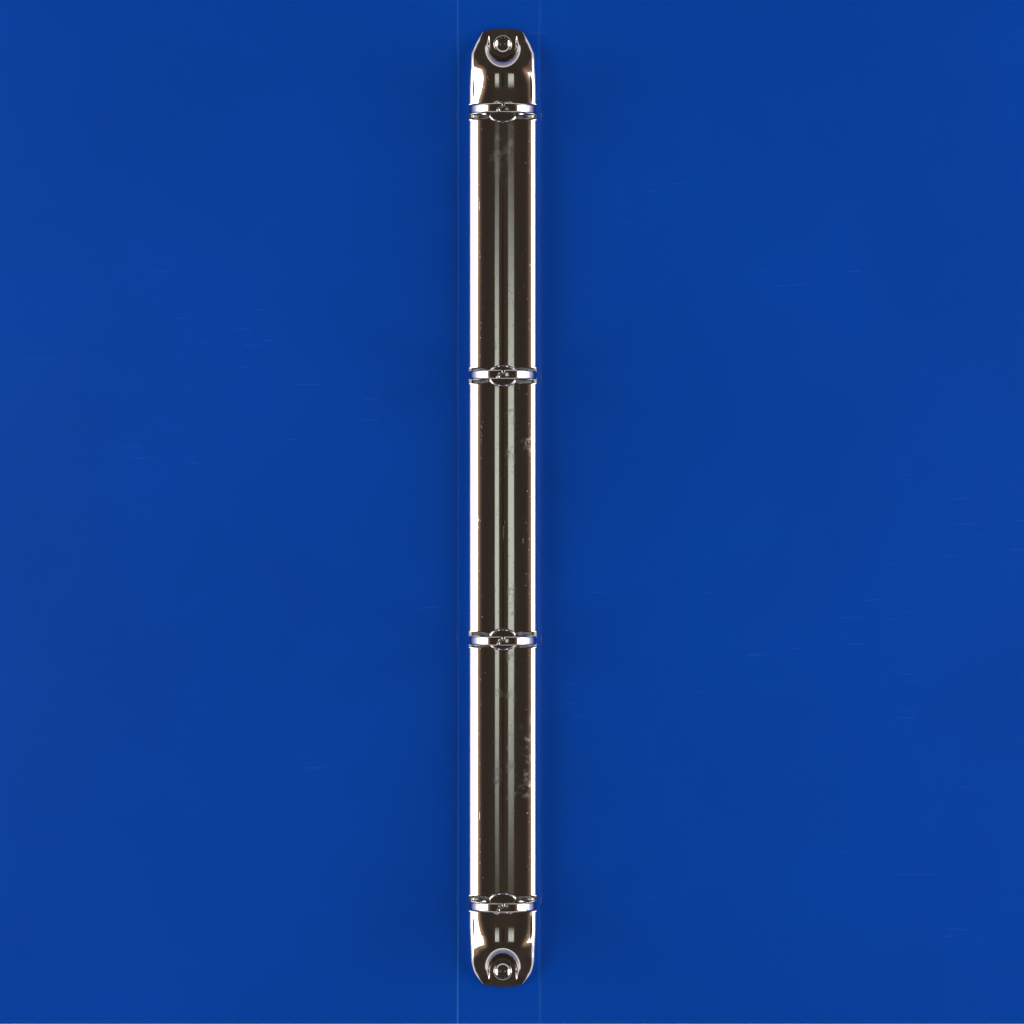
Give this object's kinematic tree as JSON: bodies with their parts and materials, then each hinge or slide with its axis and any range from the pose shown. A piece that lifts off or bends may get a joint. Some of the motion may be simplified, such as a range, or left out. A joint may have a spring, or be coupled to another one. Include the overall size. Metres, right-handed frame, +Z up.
{
  "type": "ring binder",
  "caption": "Flexible plastic ring binder lying open: hinged covers either side of a spine that carries a riveted, plated steel mechanism of round split rings.",
  "frame": {"origin": "centre of the open binder in plan, at the underside of the rivet heads, which is its lowest point", "axes": "+X across the covers towards the back cover, +Y along the spine towards its top end, +Z up out of the inside face"},
  "size_m": [0.505, 0.312, 0.0241],
  "materials": {
    "blue_plastic": "satin translucent polypropylene with a fine grain",
    "nickel_plate": "bright nickel plate with light handling marks",
    "zinc_steel": "plain plated steel"
  },
  "bodies": {
    "spine": {"spine_panel": "blue_plastic", "front_hinge_web": "blue_plastic", "back_hinge_web": "blue_plastic", "housing": "nickel_plate", "rivet_top": "zinc_steel", "rivet_bottom": "zinc_steel"},
    "front_cover": {"front_cover": "blue_plastic"},
    "back_cover": {"back_cover": "blue_plastic"},
    "left_rail": {"left_blade": "zinc_steel", "ring_1_left": "nickel_plate", "ring_2_left": "nickel_plate", "ring_3_left": "nickel_plate", "ring_4_left": "nickel_plate"},
    "right_rail": {"right_blade": "zinc_steel", "ring_1_right": "nickel_plate", "ring_2_right": "nickel_plate", "ring_3_right": "nickel_plate", "ring_4_right": "nickel_plate"}
  },
  "joints": [
    {"name": "front_cover_hinge", "type": "hinge", "parent": "spine", "child": "front_cover", "pos_m": [-0.0125, 0, 0.001], "axis": [0, 1, 0], "range_deg": [0, 90]},
    {"name": "back_cover_hinge", "type": "hinge", "parent": "spine", "child": "back_cover", "pos_m": [0.0125, 0, 0.001], "axis": [0, -1, 0], "range_deg": [0, 82]},
    {"name": "left_rail_hinge", "type": "hinge", "parent": "spine", "child": "left_rail", "pos_m": [-0.0076, 0.0008, 0.0035], "axis": [0, -1, 0], "range_deg": [0, 12]},
    {"name": "right_rail_hinge", "type": "hinge", "parent": "spine", "child": "right_rail", "pos_m": [0.01, 0.0008, 0.0035], "axis": [0, 1, 0], "range_deg": [0, 12]}
  ],
  "couplings": [
    {"joint": "right_rail_hinge", "follows": "left_rail_hinge", "ratio": 1}
  ]
}
